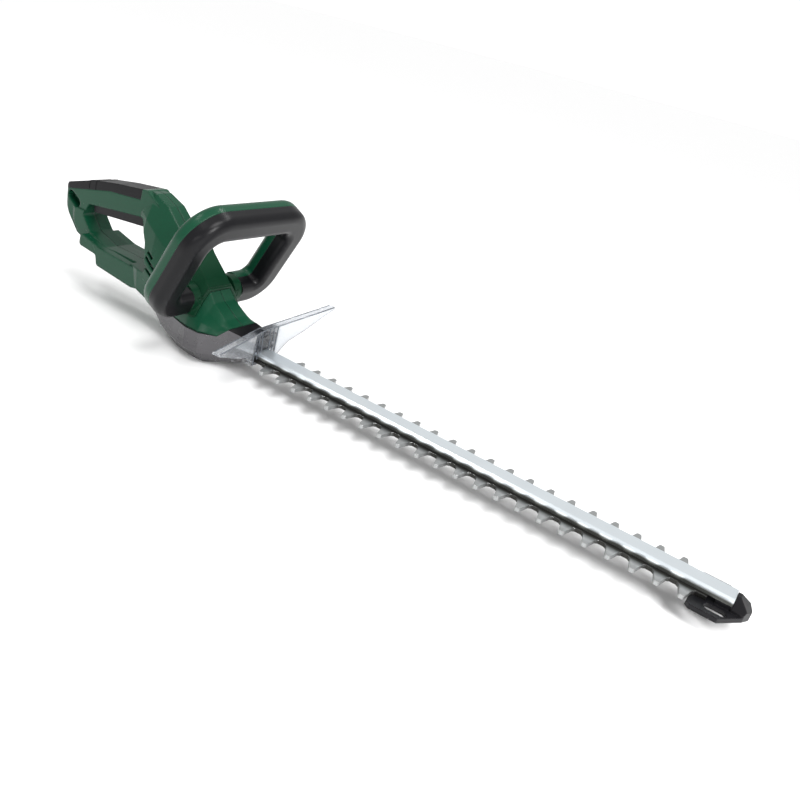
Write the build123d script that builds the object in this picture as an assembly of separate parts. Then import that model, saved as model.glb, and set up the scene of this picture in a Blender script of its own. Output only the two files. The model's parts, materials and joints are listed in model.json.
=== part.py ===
from build123d import *
from math import acos, cos, hypot, pi, radians, sin, sqrt, tan
import os

# Cordless hedge trimmer. Millimetres, +X towards the blade tip, +Y left, +Z up.
# Everything is drawn with x = 0 at the first right-hand tooth and z = 0 between the blades,
# and is moved to the tool's own origin, under the middle of its box, when it is written.
REAR_X = -394.0
TIP_X = 586.0
BELLY_Z = -27.0
ORIGIN = Vector((REAR_X + TIP_X) / 2, 0, BELLY_Z)

# Blades
PITCH = 25.0
TEETH_PER_SIDE = 22
TOOTH_REACH = 34.4
TOOTH_ROOT = 13.0
TOOTH_TIP = 5.6
BLADE_HALF = 16.0
NECK_HALF = 14.0
BLADE_THICK = 2.2
BLADE_GAP = 0.05
BLADE_END = 545.0
STROKE = 12.0
BLADE_SCREWS = (45.0, 170.0, 295.0, 420.0, 520.0)
BLADE_SCREW_RADIUS = 3.0

# Rail that stiffens the blades
RAIL_HALF = 12.0
RAIL_LOW = 2.35
RAIL_TOP = 10.4
RAIL_START = -66.0
RAIL_END = 568.0
RAIL_WALL = 2.0

# Drive
CRANK_X = -108.0
MODULE = 1.5
PINION_TEETH = 12
GEAR_TEETH = 48
PRESSURE_ANGLE = 25.0
BACKLASH = 0.35
GEAR_LOW = 4.4
GEAR_HIGH = 12.4
MOTOR_X = CRANK_X - MODULE * (PINION_TEETH + GEAR_TEETH) / 2
MOTOR_RADIUS = 21.0
MOTOR_LOW = 19.2
MOTOR_HIGH = 63.0
CRANK_SHAFT = 3.0
MOTOR_SHAFT = 2.5
RUNNING = 0.05
BEARING_RADIUS = 8.0
ECCENTRIC_RADIUS = 9.3
ECCENTRIC_OFFSET = STROKE / 2
YOKE_MARGIN = 5.0

# Housing
WALL = 3.0
GRIP_HALF = 17.0
GRIP_SKIN = 2.5
STRUT_HALF = 19.0
DOCK_HALF = 30.0
SEAM_Z = 15.0
COVER_Z = -6.0
PLATE_LOW = 15.2
PLATE_HIGH = 19.2
DOCK_CEILING = 36.0
POCKET_HALF = 24.0
BOARD_X = -184.0
STRUT_REAR = -379.0

# Front loop handle
HUB = Vector(-130, 0, 49)
HUB_RADIUS = 19.0
LOOP_LEAN = 26.0
LOOP_HALF_LOW = 86.0
LOOP_HALF_HIGH = 84.0
LOOP_TOP = 125.0
LOOP_BAR = 35.0
LOOP_DEPTH = 36.0
LOOP_SPLIT = -1.0
ARM_START = 42.6
SWITCH_BAR_HALF = 44.0

# Rear trigger
TRIGGER_PIN = (-330.0, 101.0)
TRIGGER_PIN_RADIUS = 2.0
TRIGGER_HALF = 10.0

# Screws
SCREW_SHANK = 1.8
SCREW_HEAD = 3.4
HEAD_DEPTH = 2.4

SIDE = Plane.XZ
LEAN = radians(LOOP_LEAN)
LOOP_PLANE = Plane(origin=HUB, x_dir=(0, 1, 0), z_dir=(cos(LEAN), 0, -sin(LEAN)))

# Side outlines, as (x, z)
REAR_OUTLINE = (
    (-240, 20),
    (-302, 26),
    (-304, 40),
    (-330, 41),
    (-362, 52),
    (-380, 72),
    (REAR_X, 94),
    (REAR_X, 103),
    (-383, 115),
    (-335, 131),
    (-290, 140),
    (-236, 148),
    (-190, 120),
    (-190, 30),
)
STRUT_OUTLINE = (
    (-290, 30),
    (-302, 39),
    (-334, 43),
    (-356, 53),
    (-369, 68),
    (-376, 86),
    (-330, 86),
    (-290, 56),
)
DOCK_OUTLINE = (
    (-236, 20),
    (-304, 26),
    (-307, 40),
    (-340, 43),
    (-338, 60),
    (-300, 51),
    (-205, 47),
    (-200, 26),
)
FINGER_GAP = ((-342, 97), (-233, 113), (-217, 88), (-206, 50), (-300, 51), (-334, 61), (-350, 80))
GRIP_ZONE = (
    (-420, 100),
    (-376, 108),
    (-304, 126),
    (-246, 133),
    (-243, 160),
    (-420, 160),
)
HANG_SLOT = ((-377, 98), (-366, 92))
HANG_SLOT_RADIUS = 4.0
HANG_RECESS = 7.0
HANG_WEB = 5.0

# Body stations: x, then height of belly, crown, hip and shoulder, then half width of foot,
# hip, shoulder and crown
BODY_STATIONS = (
    (-242, 34, 147, 60, 120, 27, 28, 17, 8),
    (-224, 22, 147, 62, 116, 31, 34, 25, 12),
    (-200, SEAM_Z, 138, 60, 104, 32, 37, 30, 13),
    (-176, SEAM_Z, 117, 54, 90, 33, 38, 30, 14),
    (-146, SEAM_Z, 94, 44, 72, 37, 38, 30, 16),
    (-120, SEAM_Z, 70, 34, 54, 43, 38, 28, 17),
    (-100, SEAM_Z, 48, 26, 38, 43, 37, 27, 18),
    (-78, SEAM_Z, 34, 21, 28, 31, 31, 27, 19),
    (-66, 26.6, 28.8, 27.2, 28, 25, 25, 24, 20),
)

# Gear housing stations: x, then height and half width of the keel, the chine and the rim
GEAR_STATIONS = (
    (-192, -4, 16, 2, 25, SEAM_Z, 27),
    (-174, -22, 18, -8, 30, SEAM_Z, 32),
    (-146, BELLY_Z, 26, -12, 37, SEAM_Z, 38),
    (-118, BELLY_Z, 31, -12, 45, SEAM_Z, 46),
    (-96, BELLY_Z, 30, -12, 44, SEAM_Z, 45),
    (-78, -21, 24, -10, 32, SEAM_Z, 31),
    (-66, -17, 20, -8, 26, 27, 25),
    (-40, -8, 15, -4, 21, 25, 21),
)

# Places of screws: housing (x, z, reach to the side), gearbox (x, y), loop (across, up)
HOUSING_POSTS = (
    (-352, 110, 16),
    (-345, 54, 21),
    (-222, 133, 18),
    (-222, 31, 30),
    (-200, 106, 26),
    (-98, 32, 30),
)
PLATE_POSTS = ((-178, 23), (-150, 30))
COVER_POSTS = (*PLATE_POSTS, (-58, 17.4))
LOOP_POSTS = ((85.4, 38), (84.8, 80), (56, 124))


def side_face(points, radius):
    """Face seen from the side, through (x, z) points, with rounded corners."""
    return make_face(SIDE * FilletPolyline(*points, radius=radius, close=True))


def side_slab(points, radius, half_width, grow=0.0):
    """Side face, grown or shrunk all round, and extruded to both sides of the middle."""
    face = side_face(points, radius)
    if grow:
        face = offset(face, amount=grow)
    return extrude(face, amount=half_width + grow, both=True)


def cross_section(x, points):
    """Face across the tool at x: (y, z) points of its left side, mirrored to its right."""
    plane = Plane(origin=(x, 0, 0), x_dir=(0, 1, 0), z_dir=(1, 0, 0))
    right = [(-y, z) for y, z in reversed(points)]
    return make_face(plane * Polyline(*points, *right, close=True))


def block(low, high):
    """Box from its lowest corner to its highest."""
    low, high = Vector(*low), Vector(*high)
    size = high - low
    return Pos(*((low + high) / 2)) * Box(size.X, size.Y, size.Z)


def pillar(x, y, z_low, z_high, radius):
    """Upright cylinder."""
    return Pos(x, y, (z_low + z_high) / 2) * Cylinder(radius, z_high - z_low)


def rod(x, z, y_low, y_high, radius):
    """Cylinder across the tool."""
    return Pos(x, (y_low + y_high) / 2, z) * Rot(X=90) * Cylinder(radius, y_high - y_low)


def both_sides(shape):
    """The shape and its mirror image on the other side of the tool."""
    return [shape, mirror(shape, about=Plane.XZ)]


def loop_block(across, up, forward):
    """Box in the loop handle's own axes, each given as a (low, high) pair."""
    low, high = zip(across, up, forward)
    return LOOP_PLANE.location * block(low, high)


def loop_pillar(across, up, forward, radius):
    """Cylinder square to the loop handle's plane."""
    low, high = forward
    return LOOP_PLANE.location * pillar(across, up, low, high, radius)


# Housing ---------------------------------------------------------------------------------


def body_form(inset=0.0):
    """Main body above the gear housing, drawn in by the inset."""
    sections = []
    stations = BODY_STATIONS[:-1] if inset > 0 else BODY_STATIONS
    for x, low, high, hip_z, shoulder_z, foot, hip, shoulder, crown in stations:
        floor = low if low == SEAM_Z else low + inset
        end = x - inset if x == stations[-1][0] else x
        left = (
            (foot - inset, floor),
            (hip - inset, hip_z),
            (shoulder - inset, shoulder_z - inset / 2),
            (crown - inset / 2, high - inset),
        )
        sections.append(cross_section(end, left))
    return loft(sections, ruled=True)


def gear_form(inset=0.0):
    """Boat-shaped gear housing below the body, drawn in by the inset."""
    sections = []
    for x, low, keel, chine_z, chine, rim_z, rim in GEAR_STATIONS:
        end = x + inset if x == GEAR_STATIONS[0][0] else x
        left = (
            (keel - inset, low + inset),
            (chine - inset, chine_z + inset / 2),
            (rim - inset, rim_z),
        )
        sections.append(cross_section(end, left))
    return loft(sections, ruled=True)


def round_heel(half_width, rear_x):
    """Upright prism that rounds the rear end of a slab, seen from above."""
    length = 2 * GRIP_HALF - rear_x
    plan = RectangleRounded(length, 2 * half_width, half_width * 0.75)
    return Pos(rear_x + length / 2, 0, 0) * extrude(plan, amount=200, both=True)


def handle_bar(inset=0.0):
    """Side slab of the rear handle, with its rear end rounded."""
    bar = side_slab(REAR_OUTLINE, 7, GRIP_HALF, -inset)
    return bar & round_heel(GRIP_HALF - inset, REAR_X + inset)


def strut(inset=0.0):
    """Rear strut, wider than the handle, with its rear end rounded."""
    slab = side_slab(STRUT_OUTLINE, 5, STRUT_HALF, -inset)
    return slab & round_heel(STRUT_HALF - inset, STRUT_REAR + inset)


def housing_form():
    """Outer form of the green housing, with its finger gap open."""
    form = handle_bar() + strut()
    form += side_slab(DOCK_OUTLINE, 4, DOCK_HALF)
    form += body_form()
    form -= side_slab(FINGER_GAP, 6, 60)
    return form - gear_form()


def housing_cavity():
    """Hollow inside the green housing."""
    form = handle_bar(WALL + GRIP_SKIN) + strut(WALL)
    form += side_slab(DOCK_OUTLINE, 4, DOCK_HALF, -WALL)
    form += body_form(WALL)
    return form - side_slab(FINGER_GAP, 6, 60, WALL)


def grip_skin():
    """Space that the soft grip fills, over the top and rear of the handle."""
    zone = side_slab(GRIP_ZONE, 1, 60)
    return (handle_bar() & zone) - handle_bar(GRIP_SKIN)


def slot_prism(points, radius, half_width):
    """Oblong bar across the tool, from one (x, z) point to the next."""
    (x1, z1), (x2, z2) = points
    prism = rod(x1, z1, -half_width, half_width, radius)
    prism += rod(x2, z2, -half_width, half_width, radius)
    side_x = -(z2 - z1) * radius / hypot(x2 - x1, z2 - z1)
    side_z = (x2 - x1) * radius / hypot(x2 - x1, z2 - z1)
    corners = (
        (x1 + side_x, z1 + side_z),
        (x2 + side_x, z2 + side_z),
        (x2 - side_x, z2 - side_z),
        (x1 - side_x, z1 - side_z),
    )
    face = make_face(SIDE * Polyline(*corners, close=True))
    return prism + extrude(face, amount=half_width, both=True)


def hang_recess():
    """Hollow on each side of the hanging slot, which leaves a web between them."""
    recess = slot_prism(HANG_SLOT, HANG_RECESS, 40)
    return recess - block((-420, -HANG_WEB, 60), (-340, HANG_WEB, 130))


def vent_slots():
    """Three slanted cooling slots through each side of the body."""
    slots = []
    for x, z, length in ((-202, 76, 12), (-199, 66, 23), (-202, 56, 26)):
        slot = Pos(x, 36, z) * Rot(Y=32) * Box(length, 30, 4.4)
        slots += both_sides(slot)
    return slots


def housing_screw(x, z, reach, slack=0.0):
    """Screw from the left side; slack lengthens its head outward, to cut a recess."""
    seat = reach - 6.0
    shank = rod(x, z, 8.0 - reach, seat, SCREW_SHANK)
    return shank + rod(x, z, seat, seat + HEAD_DEPTH + slack, SCREW_HEAD)


def housing():
    """Both halves of the green housing, before they are parted."""
    outer = housing_form()
    shell = outer - housing_cavity()
    posts = slot_prism(HANG_SLOT, HANG_RECESS + WALL, 40)
    posts += block((-257, -13, 134), (-249, 13, 141))
    for x, z, _ in HOUSING_POSTS:
        posts += rod(x, z, -40, 40, SCREW_HEAD + 2)
    posts += block((-306, -40, DOCK_CEILING), (-240, 40, DOCK_CEILING + WALL))
    posts += block((-244, -40, 24), (-241, 40, DOCK_CEILING + WALL))
    shell += posts & outer
    shell -= grip_skin()
    shell -= slot_prism(HANG_SLOT, HANG_SLOT_RADIUS, 60) + hang_recess()
    shell -= block((-341, -TRIGGER_HALF - 0.4, 84), (-235, TRIGGER_HALF + 0.4, 123))
    shell -= rod(*TRIGGER_PIN, -14, 14, TRIGGER_PIN_RADIUS)
    shell -= block((-320, -POCKET_HALF, 29), (-244, POCKET_HALF, DOCK_CEILING))
    shell -= block((-320, -POCKET_HALF + 5, 0), (-244, POCKET_HALF - 5, 30))
    shell -= terminal_block()
    for slot in vent_slots():
        shell -= slot
    for post in HOUSING_POSTS:
        shell -= housing_screw(*post, slack=40)
    return shell


def rear_grip():
    """Soft grip over the rear handle."""
    return grip_skin() - hang_recess()


# Gear housing ----------------------------------------------------------------------------


def gearbox_screws():
    """Screws that hold the gearbox plate down on its posts."""
    screws = []
    for x, y in PLATE_POSTS:
        screw = pillar(x, y, 6, PLATE_HIGH, 1.6) + pillar(x, y, PLATE_HIGH, PLATE_HIGH + 2.2, 3)
        screws += both_sides(screw)
    return screws


def cover_screws(slack=0.0):
    """Screws that hold the bottom cover; slack lengthens their heads downward."""
    screws = []
    for x, y in COVER_POSTS:
        head = pillar(x, y, -12.4 - slack, -10, 3)
        screws += both_sides(head + pillar(x, y, -10, 4, 1.6))
    return screws


def rail_screws(slack=0.0):
    """Two screws that hold the rail in the nose of the gear housing, with their nuts."""
    screws = []
    for x in (-58, -49):
        screw = pillar(x, 0, RAIL_LOW + 0.4, 19, 2) + pillar(x, 0, 19, 21.4 + slack, 3.6)
        screws.append(screw)
    return screws


def blade_way():
    """Way through the nose for the blades and the rail."""
    way = block((-80, -NECK_HALF - 0.4, -2.7), (-20, NECK_HALF + 0.4, 2.5))
    return way + block((RAIL_START, -RAIL_HALF, 0), (-20, RAIL_HALF, RAIL_TOP))


def seal_pocket():
    """Pocket for the felt in the front face of the gear housing."""
    return block((-43.5, -17.5, -4.6), (-40, 17.5, 12.6))


def gear_housing():
    """Grey gear housing, open below, with a solid nose."""
    cavity = gear_form(WALL) & block((-189, -60, -60), (-69, 60, 60))
    shell = gear_form() - cavity
    for x, y in PLATE_POSTS:
        for post in both_sides(pillar(x, y, -60, SEAM_Z, 4)):
            shell += post & gear_form()
    shell &= block((-200, -60, COVER_Z), (-30, 60, 60))
    shell -= blade_way() + seal_pocket() + nose_cover()
    for screw in gearbox_screws() + cover_screws() + rail_screws(slack=8) + guard_screws():
        shell -= screw
    return shell


def gear_cover():
    """Bottom tray of the gear housing, with the lower bearing's seat."""
    low_half = block((-200, -60, -60), (-30, 60, COVER_Z - 0.1))
    cavity = gear_form(WALL) & block((-186, -60, -60), (-69, 60, 60))
    shell = gear_form() - cavity
    for x, y in COVER_POSTS:
        for post in both_sides(pillar(x, y, -60, 0, 4.6)):
            shell += post & gear_form()
    shell += pillar(CRANK_X, 0, BELLY_Z + 1, -10.2, BEARING_RADIUS + 3) & gear_form()
    shell &= low_half
    shell -= pillar(CRANK_X, 0, -16, 0, BEARING_RADIUS)
    for screw in cover_screws(slack=30):
        shell -= screw
    return shell


def nose_cover():
    """Black cover plate on the nose of the gear housing."""
    rear = cross_section(-65.8, ((25, 23.4), (25, 27.8)))
    front = cross_section(-42, ((20.6, 22), (20.6, 26)))
    return loft([rear, front], ruled=True)


def gearbox_plate():
    """Plate that carries the motor and the upper bearing."""
    plate = body_form(WALL + 0.4) & block((-186, -60, PLATE_LOW), (-60, 60, PLATE_HIGH))
    plate -= pillar(CRANK_X, 0, 0, 40, BEARING_RADIUS)
    plate -= pillar(MOTOR_X, 0, 0, 40, 5)
    for screw in gearbox_screws() + motor_screws():
        plate -= screw
    return plate


# Drive -----------------------------------------------------------------------------------


def involute_angle(base, radius):
    """How far round the base circle an involute has turned where it reaches the radius."""
    roll = acos(min(1.0, base / radius))
    return tan(roll) - roll


def spur_gear(teeth, z_low, z_high, turn):
    """Spur gear on the z axis with involute flanks; turn is a tooth's place in degrees."""
    pitch_radius = MODULE * teeth / 2
    base = pitch_radius * cos(radians(PRESSURE_ANGLE))
    root = pitch_radius - 1.2 * MODULE
    tip = pitch_radius + 0.95 * MODULE
    half = (pi * MODULE / 2 - BACKLASH) / (2 * pitch_radius)
    at_pitch = involute_angle(base, pitch_radius)
    flank = [max(base, root + 0.2 * MODULE)]
    flank += [pitch_radius, (pitch_radius + tip) / 2, tip]
    points = []
    for tooth in range(teeth):
        middle = radians(turn) + 2 * pi * tooth / teeth
        rise = [(root, half + at_pitch)]
        rise += [(radius, half + at_pitch - involute_angle(base, radius)) for radius in flank]
        for radius, angle in rise:
            points.append((radius * cos(middle - angle), radius * sin(middle - angle)))
        for radius, angle in reversed(rise):
            points.append((radius * cos(middle + angle), radius * sin(middle + angle)))
    face = make_face(Polyline(*points, close=True))
    return Pos(0, 0, z_low) * extrude(face, amount=z_high - z_low)


def crank_gear():
    """Large gear, with round lightening holes and a bore for its shaft."""
    gear = spur_gear(GEAR_TEETH, GEAR_LOW, GEAR_HIGH, 180 + 180 / GEAR_TEETH)
    gear -= pillar(0, 0, 0, 20, CRANK_SHAFT)
    for hole in PolarLocations(22, 6):
        gear -= hole * pillar(0, 0, 0, 20, 6)
    return Pos(CRANK_X, 0, 0) * gear


def motor_pinion():
    """Small gear on the motor shaft."""
    gear = spur_gear(PINION_TEETH, GEAR_LOW - 0.1, GEAR_HIGH + 0.4, 0)
    gear -= pillar(0, 0, 0, 20, MOTOR_SHAFT)
    return Pos(MOTOR_X, 0, 0) * gear


def crank_shaft():
    """Shaft of the large gear."""
    return pillar(CRANK_X, 0, -15.5, 21, CRANK_SHAFT)


def crank_eccentrics():
    """Two discs set opposite each other, one in each blade's yoke."""
    upper = pillar(CRANK_X, ECCENTRIC_OFFSET, 0.1, 4.2, ECCENTRIC_RADIUS)
    lower = pillar(CRANK_X, -ECCENTRIC_OFFSET, -4.2, -0.1, ECCENTRIC_RADIUS)
    bore = pillar(CRANK_X, 0, -10, 10, CRANK_SHAFT)
    return [upper - bore, lower - bore]


def crank_bearings():
    """Upper and lower bearing of the crank shaft."""
    bearings = []
    for z_low, z_high in ((PLATE_LOW, PLATE_HIGH), (-16, -10.4)):
        ring = pillar(CRANK_X, 0, z_low, z_high, BEARING_RADIUS)
        bearings.append(ring - pillar(CRANK_X, 0, -40, 40, CRANK_SHAFT + RUNNING))
    return bearings


def motor_can():
    """Closed steel can of the motor."""
    can = pillar(MOTOR_X, 0, MOTOR_LOW, MOTOR_HIGH, MOTOR_RADIUS)
    can -= pillar(MOTOR_X, 0, MOTOR_LOW + 2.5, MOTOR_HIGH - 2.5, MOTOR_RADIUS - 2)
    can -= pillar(MOTOR_X, 0, 0, 90, MOTOR_SHAFT + RUNNING)
    for screw in motor_screws():
        can -= screw
    return can


def motor_magnets():
    """Two curved magnets inside the can."""
    ring = pillar(MOTOR_X, 0, 27, 56, MOTOR_RADIUS - 2) - pillar(MOTOR_X, 0, 0, 90, 16.2)
    gap = block((MOTOR_X - 30, -5, 0), (MOTOR_X + 30, 5, 90))
    return list((ring - gap).solids())


def motor_armature():
    """Wound core on the motor shaft, with its commutator."""
    core = pillar(MOTOR_X, 0, 28, 53, 15.6) + pillar(MOTOR_X, 0, 53, 59, 6)
    for spoke in PolarLocations(15.6, 5):
        core -= Pos(MOTOR_X, 0, 40.5) * spoke * Box(7, 2.4, 26)
    return core - pillar(MOTOR_X, 0, 0, 90, MOTOR_SHAFT)


def motor_shaft():
    """Shaft through pinion, armature and fan."""
    return pillar(MOTOR_X, 0, GEAR_LOW - 0.1, 73, MOTOR_SHAFT)


def cooling_fan():
    """Fan on the upper end of the motor shaft."""
    fan = pillar(0, 0, 65, 66.5, 17) + pillar(0, 0, 65, 72, 5)
    for spoke in PolarLocations(11, 9):
        fan += spoke * Pos(0, 0, 68.5) * Rot(Z=25) * Box(10, 1.4, 5)
    return Pos(MOTOR_X, 0, 0) * (fan - pillar(0, 0, 60, 80, MOTOR_SHAFT))


def motor_screws():
    """Two screws from the gearbox plate into the motor."""
    screws = []
    for y in (-12, 12):
        shank = pillar(MOTOR_X, y, PLATE_LOW + 1.6, MOTOR_LOW + 2.4, 1.5)
        screws.append(shank + pillar(MOTOR_X, y, PLATE_LOW + 0.1, PLATE_LOW + 1.6, 2.8))
    return screws


# Blades ----------------------------------------------------------------------------------


def blade_outline():
    """Plan of one blade: neck, bar, teeth staggered left and right, and crank yoke."""
    plan = Pos((BLADE_END - 14) / 2, 0) * Rectangle(BLADE_END + 14, 2 * BLADE_HALF)
    plan += Pos(-52, 0) * Rectangle(80, 2 * NECK_HALF)
    reach = ECCENTRIC_RADIUS + ECCENTRIC_OFFSET
    slot_x = 2 * reach + STROKE + 0.8
    slot_y = 2 * reach + 1.0
    yoke = Rectangle(slot_x + 2 * YOKE_MARGIN, slot_y + 2 * YOKE_MARGIN)
    plan += Pos(CRANK_X, 0) * fillet(yoke.vertices(), 4)
    for tooth in range(TEETH_PER_SIDE):
        plan += Pos(tooth * PITCH, 0) * tooth_outline(-1)
        if tooth < TEETH_PER_SIDE - 1:
            plan += Pos((tooth + 0.5) * PITCH, 0) * tooth_outline(1)
    plan -= Pos(CRANK_X, 0) * fillet(Rectangle(slot_x, slot_y).vertices(), 3)
    for x in BLADE_SCREWS:
        plan -= Pos(x, 0) * SlotCenterToCenter(STROKE + 0.6, 2 * BLADE_SCREW_RADIUS + 0.3)
    return plan


def tooth_outline(side):
    """One tooth on the side given by its sign, with a rounded root."""
    root, tip = TOOTH_ROOT / 2, TOOTH_TIP / 2
    flank = BLADE_HALF + 2.5
    points = (
        (-root - 3, side * (BLADE_HALF - 1)),
        (-root - 3, side * BLADE_HALF),
        (-root, side * flank),
        (-tip, side * (TOOTH_REACH - 1.2)),
        (-tip + 1.2, side * TOOTH_REACH),
        (tip - 1.2, side * TOOTH_REACH),
        (tip, side * (TOOTH_REACH - 1.2)),
        (root, side * flank),
        (root + 3, side * BLADE_HALF),
        (root + 3, side * (BLADE_HALF - 1)),
    )
    return make_face(Polyline(*points, close=True))


def upper_blade():
    """Blade above the cutting plane."""
    return Pos(0, 0, BLADE_GAP) * extrude(blade_outline(), amount=BLADE_THICK)


def lower_blade():
    """Blade below the cutting plane."""
    return Pos(0, 0, -BLADE_GAP - BLADE_THICK) * extrude(blade_outline(), amount=BLADE_THICK)


def blade_rail():
    """Channel that stiffens the blades, open downward."""
    outside = block((RAIL_START, -RAIL_HALF, RAIL_LOW), (RAIL_END, RAIL_HALF, RAIL_TOP))
    edges = outside.edges().filter_by(Axis.X).group_by(Axis.Z)[-1]
    outside = chamfer(edges, 2.2)
    inside = block(
        (RAIL_START - 1, -RAIL_HALF + RAIL_WALL, 0),
        (RAIL_END + 1, RAIL_HALF - RAIL_WALL, RAIL_TOP - RAIL_WALL),
    )
    rail = outside - inside
    for screw in rail_screws():
        rail -= screw
    return rail


def blade_screws():
    """Shoulder screws that hold the blades against the rail."""
    screws = []
    for x in BLADE_SCREWS:
        shoulder = pillar(x, 0, -2.6, 8, BLADE_SCREW_RADIUS)
        screws.append(shoulder + pillar(x, 0, -5.2, -2.6, 6.5))
    return screws


def hex_nut(x, z_low, z_high, flats, bore):
    """Six-sided nut."""
    nut = extrude(RegularPolygon(flats / 2, 6, major_radius=False), amount=z_high - z_low)
    return Pos(x, 0, z_low) * nut - pillar(x, 0, -40, 40, bore)


def rail_nuts():
    """Nuts inside the rail for the blade, rail and tip screws."""
    web = RAIL_TOP - RAIL_WALL
    nuts = [hex_nut(x, 3.2, web, 11, BLADE_SCREW_RADIUS) for x in BLADE_SCREWS]
    nuts += [hex_nut(x, 4.6, web, 7.5, 2) for x in (-58, -49)]
    nuts.append(hex_nut(TIP_SCREW_X, 4.0, web, 8, 2))
    return nuts


TIP_SCREW_X = 561.0


def tip_screw(slack=0.0):
    """Screw through the tip protector into the rail."""
    head = pillar(TIP_SCREW_X, 0, -7 - slack, -4.6, 3.6)
    return head + pillar(TIP_SCREW_X, 0, -4.6, 7.6, 2)


def tip_protector():
    """Guard plate round the blade tips, with a fin that caps the rail and two hanging slots."""
    left = ((530, 0), (530, 30), (534, 34.3), (561, 34.3), (581, 12), (TIP_X, 3))
    right = [(x, -y) for x, y in reversed(left) if y]
    plan = make_face(Polyline(*left, *right, close=True))
    plate = Pos(0, 0, -8) * extrude(plan, amount=5.4)
    seat = Pos(0, 0, -8) * extrude(plan, amount=8 + RAIL_LOW)
    plate += seat & block((553, -RAIL_HALF, -8), (RAIL_END, RAIL_HALF, 9))
    fin_side = ((568.3, -8), (568.3, 11.6), (572, 11.6), (TIP_X, 0), (TIP_X, -5), (582, -8))
    fin = extrude(make_face(SIDE * Polyline(*fin_side, close=True)), amount=13, both=True)
    roof = ((-13, -8), (13, -8), (13, 0), (4, 11.6), (-4, 11.6), (-13, 0))
    roof_face = make_face(Plane.YZ * Polyline(*roof, close=True))
    fin &= Pos(560, 0, 0) * extrude(roof_face, amount=30)
    plate += fin & (Pos(0, 0, -8) * extrude(plan, amount=22))
    for y in (-22.5, 22.5):
        plate -= Pos(556, y, 0) * extrude(SlotCenterToCenter(11, 10.6), amount=40, both=True)
        plate -= Pos(556, y, -8) * extrude(SlotCenterToCenter(11, 13), amount=2.6)
    return plate - tip_screw(slack=20)


def blade_seal():
    """Felt round the blades where they leave the housing."""
    return seal_pocket() - blade_way()


# Hand guard ------------------------------------------------------------------------------

GUARD_CROWN = Vector(-29, 0, 37)
GUARD_TIPS = (Vector(-8, 110, 57), Vector(-1, -110, 41))
GUARD_THICK = 3.0


def guard_wing(tip):
    """One wing: a thin plate from the crown to the tip, with a forward lip along its top."""
    side = 1 if tip.Y > 0 else -1
    along = (tip - GUARD_CROWN).normalized()
    root = Vector(-26, side * 22, -2)
    normal = along.cross(root - GUARD_CROWN).normalized() * side
    plane = Plane(origin=GUARD_CROWN, x_dir=along, z_dir=normal)
    length = (tip - GUARD_CROWN).length
    foot = plane.to_local_coords(root)
    low = -1 if foot.Y < 0 else 1
    skirt = (
        (0, 0),
        (length, 0),
        (length, low * 2.5),
        (0.8 * length, low * 10),
        (0.55 * length, low * 20),
        (0.32 * length, low * 27),
        (foot.X, foot.Y),
        (0, foot.Y),
    )
    plate = extrude(plane * make_face(Polyline(*skirt, close=True)), amount=GUARD_THICK)
    lip = ((0, 0), (length, 0), (length, low * 2.4), (0, low * 2.4))
    lip_face = plane * make_face(Polyline(*lip, close=True))
    return plate + extrude(lip_face, amount=GUARD_THICK + 6)


def guard_screws():
    """Two screws that hold the guard on the nose."""
    screws = []
    for y in (-14, 14):
        shank = Pos(-41, y, 18) * Rot(Y=90) * Cylinder(SCREW_SHANK, 17)
        head = Pos(-31.3, y, 18) * Rot(Y=90) * Cylinder(SCREW_HEAD, HEAD_DEPTH)
        screws.append(shank + head)
    return screws


def hand_guard():
    """Clear guard with two swept wings and a hollow middle block."""
    guard = block((-39.8, -22, -5), (-26, 22, 30))
    for tip in GUARD_TIPS:
        guard += guard_wing(tip)
    guard -= block((-60, -18, -3.4), (20, 18, 12.4))
    for screw in guard_screws():
        guard -= screw
    for y in (-14, 14):
        guard -= Pos(-26, y, 18) * Rot(Y=90) * Cylinder(SCREW_HEAD, 9)
    return guard


# Front loop handle -----------------------------------------------------------------------


def loop_bar(shrink, start):
    """Bar swept round the loop, thinner by the shrink all round, from both arm ends."""
    path = LOOP_PLANE * FilletPolyline(
        (start, 0),
        (LOOP_HALF_LOW, 0),
        (LOOP_HALF_HIGH, LOOP_TOP),
        (-LOOP_HALF_HIGH, LOOP_TOP),
        (-LOOP_HALF_LOW, 0),
        (-start, 0),
        radius=[24, 33, 33, 24],
    )
    up = LOOP_PLANE.y_dir
    section_plane = Plane(origin=path @ 0, x_dir=up, z_dir=(0, 1, 0))
    size = 2 * shrink
    section = section_plane * RectangleRounded(LOOP_BAR - size, LOOP_DEPTH - size, 11 - shrink)
    return sweep(section, path=path)


def loop_screws(slack=0.0):
    """Screws from the rear shell into the front shell."""
    screws = []
    back = -LOOP_DEPTH / 2 + 2.0
    for across, up in LOOP_POSTS:
        head = loop_pillar(across, up, (back - slack, back + HEAD_DEPTH), SCREW_HEAD)
        screws += both_sides(head + loop_pillar(across, up, (back + HEAD_DEPTH, 8), SCREW_SHANK))
    return screws


def switch_slot():
    """Opening in the lower side of the top bar for the switch bar."""
    half = SWITCH_BAR_HALF + 0.4
    return loop_block((-half, half), (LOOP_TOP - 20, LOOP_TOP - 13), (-6.9, 6.9))


def loop_shell():
    """Hollow loop handle with its screw posts and spring posts, before it is parted."""
    outer = loop_bar(0, ARM_START)
    shell = outer - loop_bar(WALL, ARM_START + WALL)
    for across, up in LOOP_POSTS:
        for post in both_sides(loop_pillar(across, up, (-20, 20), SCREW_HEAD + 1.6)):
            shell += post & outer
    for across in (-30, 30):
        shell += loop_block((across - 2, across + 2), (LOOP_TOP + 1, LOOP_TOP + 15), (-2, 2)) & outer
    shell -= switch_slot()
    for screw in loop_screws(slack=12):
        shell -= screw
    for bolt in handle_bolts():
        shell -= bolt
    return shell


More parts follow.
